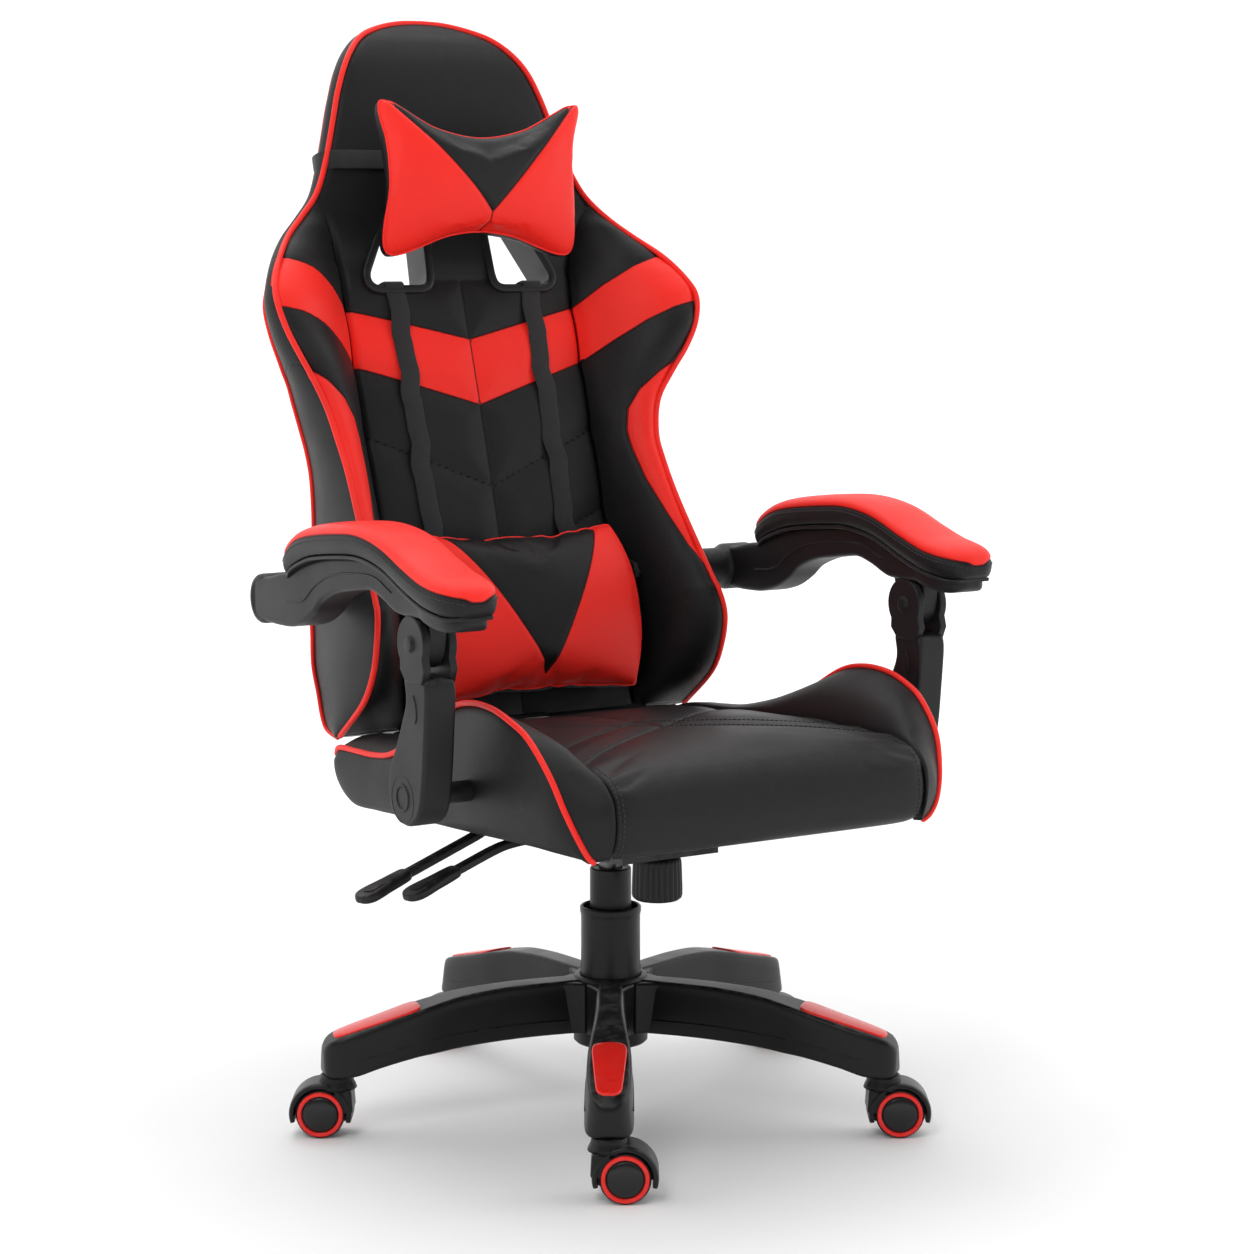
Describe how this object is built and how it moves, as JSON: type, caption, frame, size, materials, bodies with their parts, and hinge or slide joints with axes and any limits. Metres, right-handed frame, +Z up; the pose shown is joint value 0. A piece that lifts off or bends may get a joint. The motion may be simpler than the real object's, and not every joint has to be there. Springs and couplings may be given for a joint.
{
  "type": "gaming chair",
  "caption": "High-backed racing-style swivel chair with reclining winged backrest, belt windows, head and lumbar pillows, linked armrests, gas lift and a star base on twin-wheel casters.",
  "frame": {"origin": "on the floor, on the gas column's axis", "axes": "+Z up, the sitter faces -Y, +X to the sitter's left; at rest the lift is in the lower part of its travel, the seat doesn't rock and the backrest is at its most upright lock"},
  "size_m": [0.7625, 0.8634, 1.3233],
  "materials": {
    "base_nylon": "satin",
    "wheel_nylon": "satin",
    "red_trim": "satin",
    "black_steel": "satin",
    "bright_steel": "satin",
    "control_plastic": "satin",
    "webbing": "matte",
    "black_leather": "satin",
    "red_leather": "satin",
    "arm_plastic": "satin"
  },
  "bodies": {
    "base": {"star_base": "base_nylon", "arm_inlays": "red_trim", "gas_cylinder": "black_steel", "dust_sleeve": "base_nylon"},
    "caster_1": {"caster_1_hood": "base_nylon", "caster_1_pins": "bright_steel"},
    "caster_1_wheel_a": {"caster_1_wheel_a": "wheel_nylon"},
    "caster_1_wheel_b": {"caster_1_wheel_b": "wheel_nylon"},
    "caster_2": {"caster_2_hood": "base_nylon", "caster_2_pins": "bright_steel"},
    "caster_2_wheel_a": {"caster_2_wheel_a": "wheel_nylon"},
    "caster_2_wheel_b": {"caster_2_wheel_b": "wheel_nylon"},
    "caster_3": {"caster_3_hood": "base_nylon", "caster_3_pins": "bright_steel"},
    "caster_3_wheel_a": {"caster_3_wheel_a": "wheel_nylon"},
    "caster_3_wheel_b": {"caster_3_wheel_b": "wheel_nylon"},
    "caster_4": {"caster_4_hood": "base_nylon", "caster_4_pins": "bright_steel"},
    "caster_4_wheel_a": {"caster_4_wheel_a": "wheel_nylon"},
    "caster_4_wheel_b": {"caster_4_wheel_b": "wheel_nylon"},
    "caster_5": {"caster_5_hood": "base_nylon", "caster_5_pins": "bright_steel"},
    "caster_5_wheel_a": {"caster_5_wheel_a": "wheel_nylon"},
    "caster_5_wheel_b": {"caster_5_wheel_b": "wheel_nylon"},
    "column": {"gas_piston": "bright_steel"},
    "mechanism": {"mechanism_housing": "black_steel", "rocking_pin": "bright_steel", "tension_spring": "bright_steel"},
    "tension_knob": {"tension_knob": "control_plastic"},
    "lift_lever": {"lift_lever": "control_plastic"},
    "seat": {"seat_plate": "black_steel", "seat_frame": "black_steel", "seat_webbing": "webbing", "seat_bolts": "bright_steel", "seat_cushion": "black_leather", "seat_bolster_left": "black_leather", "seat_bolster_right": "black_leather", "recline_pins": "bright_steel", "arm_bolts_lower": "black_steel"},
    "recline_lever": {"recline_lever": "control_plastic"},
    "backrest": {"back_frame": "black_steel", "back_cushion": "black_leather", "back_bolster_left": "black_leather", "back_bolster_right": "black_leather", "back_shell": "black_leather", "window_trims": "control_plastic", "arm_bolts_rear": "black_steel", "head_pillow": "red_leather", "head_strap": "webbing", "lumbar_cushion": "red_leather", "lumbar_straps": "webbing"},
    "post_left": {"arm_post_left": "arm_plastic"},
    "armrest_left": {"arm_frame_left": "arm_plastic", "arm_pad_left": "red_leather"},
    "post_right": {"arm_post_right": "arm_plastic"},
    "armrest_right": {"arm_frame_right": "arm_plastic", "arm_pad_right": "red_leather"}
  },
  "joints": [
    {"name": "caster_1_turn", "type": "hinge", "parent": "base", "child": "caster_1", "pos_m": [-0.17765, -0.2899, 0.07], "axis": [0, 0, 1], "continuous": true},
    {"name": "caster_1_wheel_a_spin", "type": "hinge", "parent": "caster_1", "child": "caster_1_wheel_a", "pos_m": [-0.1623, -0.2993, 0.029], "axis": [0.5225, 0.8526, 0], "continuous": true},
    {"name": "caster_1_wheel_b_spin", "type": "hinge", "parent": "caster_1", "child": "caster_1_wheel_b", "pos_m": [-0.1623, -0.2993, 0.029], "axis": [0.5225, 0.8526, 0], "continuous": true},
    {"name": "caster_2_turn", "type": "hinge", "parent": "base", "child": "caster_2", "pos_m": [0.22081, -0.25854, 0.07], "axis": [0, 0, 1], "continuous": true},
    {"name": "caster_2_wheel_a_spin", "type": "hinge", "parent": "caster_2", "child": "caster_2_wheel_a", "pos_m": [0.23616, -0.26794, 0.029], "axis": [0.5225, 0.8526, 0], "continuous": true},
    {"name": "caster_2_wheel_b_spin", "type": "hinge", "parent": "caster_2", "child": "caster_2_wheel_b", "pos_m": [0.23616, -0.26794, 0.029], "axis": [0.5225, 0.8526, 0], "continuous": true},
    {"name": "caster_3_turn", "type": "hinge", "parent": "base", "child": "caster_3", "pos_m": [0.31412, 0.13011, 0.07], "axis": [0, 0, 1], "continuous": true},
    {"name": "caster_3_wheel_a_spin", "type": "hinge", "parent": "caster_3", "child": "caster_3_wheel_a", "pos_m": [0.32947, 0.12071, 0.029], "axis": [0.5225, 0.8526, 0], "continuous": true},
    {"name": "caster_3_wheel_b_spin", "type": "hinge", "parent": "caster_3", "child": "caster_3_wheel_b", "pos_m": [0.32947, 0.12071, 0.029], "axis": [0.5225, 0.8526, 0], "continuous": true},
    {"name": "caster_4_turn", "type": "hinge", "parent": "base", "child": "caster_4", "pos_m": [-0.02668, 0.33895, 0.07], "axis": [0, 0, 1], "continuous": true},
    {"name": "caster_4_wheel_a_spin", "type": "hinge", "parent": "caster_4", "child": "caster_4_wheel_a", "pos_m": [-0.04202, 0.34836, 0.029], "axis": [-0.5225, -0.8526, 0], "continuous": true},
    {"name": "caster_4_wheel_b_spin", "type": "hinge", "parent": "caster_4", "child": "caster_4_wheel_b", "pos_m": [-0.04202, 0.34836, 0.029], "axis": [-0.5225, -0.8526, 0], "continuous": true},
    {"name": "caster_5_turn", "type": "hinge", "parent": "base", "child": "caster_5", "pos_m": [-0.33061, 0.07937, 0.07], "axis": [0, 0, 1], "continuous": true},
    {"name": "caster_5_wheel_a_spin", "type": "hinge", "parent": "caster_5", "child": "caster_5_wheel_a", "pos_m": [-0.34595, 0.08878, 0.029], "axis": [-0.5225, -0.8526, 0], "continuous": true},
    {"name": "caster_5_wheel_b_spin", "type": "hinge", "parent": "caster_5", "child": "caster_5_wheel_b", "pos_m": [-0.34595, 0.08878, 0.029], "axis": [-0.5225, -0.8526, 0], "continuous": true},
    {"name": "height", "type": "slide", "parent": "base", "child": "column", "axis": [0, 0, 1], "range_m": [-0.02, 0.06]},
    {"name": "swivel", "type": "hinge", "parent": "column", "child": "mechanism", "pos_m": [0, 0, 0.33], "axis": [0, 0, 1], "continuous": true},
    {"name": "rocking", "type": "hinge", "parent": "mechanism", "child": "seat", "pos_m": [0, -0.07, 0.362], "axis": [-1, 0, 0], "range_deg": [0, 12], "stiffness_Nm_per_rad": 260, "springref_deg": -28.65},
    {"name": "tension", "type": "hinge", "parent": "mechanism", "child": "tension_knob", "pos_m": [0, -0.106, 0.3], "axis": [0, 0, 1], "range_deg": [0, 1080]},
    {"name": "lift_lever_pull", "type": "hinge", "parent": "mechanism", "child": "lift_lever", "pos_m": [-0.052, 0.006, 0.349], "axis": [0, 1, 0], "range_deg": [0, 8], "stiffness_Nm_per_rad": 3, "springref_deg": -8.59},
    {"name": "recline_lever_pull", "type": "hinge", "parent": "seat", "child": "recline_lever", "pos_m": [-0.122, 0.058, 0.36], "axis": [0, 1, 0], "range_deg": [0, 8], "stiffness_Nm_per_rad": 3, "springref_deg": -8.59},
    {"name": "recline", "type": "hinge", "parent": "seat", "child": "backrest", "pos_m": [0, 0.253, 0.451], "axis": [-1, 0, 0], "range_deg": [0, 45]},
    {"name": "post_left_swing", "type": "hinge", "parent": "seat", "child": "post_left", "pos_m": [0.332, -0.14, 0.443], "axis": [-1, 0, 0], "range_deg": [0, 45]},
    {"name": "armrest_left_swing", "type": "hinge", "parent": "backrest", "child": "armrest_left", "pos_m": [0.332, 0.228, 0.624], "axis": [-1, 0, 0], "range_deg": [-45, 0]},
    {"name": "post_right_swing", "type": "hinge", "parent": "seat", "child": "post_right", "pos_m": [-0.332, -0.14, 0.443], "axis": [-1, 0, 0], "range_deg": [0, 45]},
    {"name": "armrest_right_swing", "type": "hinge", "parent": "backrest", "child": "armrest_right", "pos_m": [-0.332, 0.228, 0.624], "axis": [-1, 0, 0], "range_deg": [-45, 0]}
  ],
  "couplings": [
    {"joint": "post_left_swing", "follows": "recline", "ratio": 1},
    {"joint": "armrest_left_swing", "follows": "recline", "ratio": -1},
    {"joint": "post_right_swing", "follows": "recline", "ratio": 1},
    {"joint": "armrest_right_swing", "follows": "recline", "ratio": -1}
  ]
}
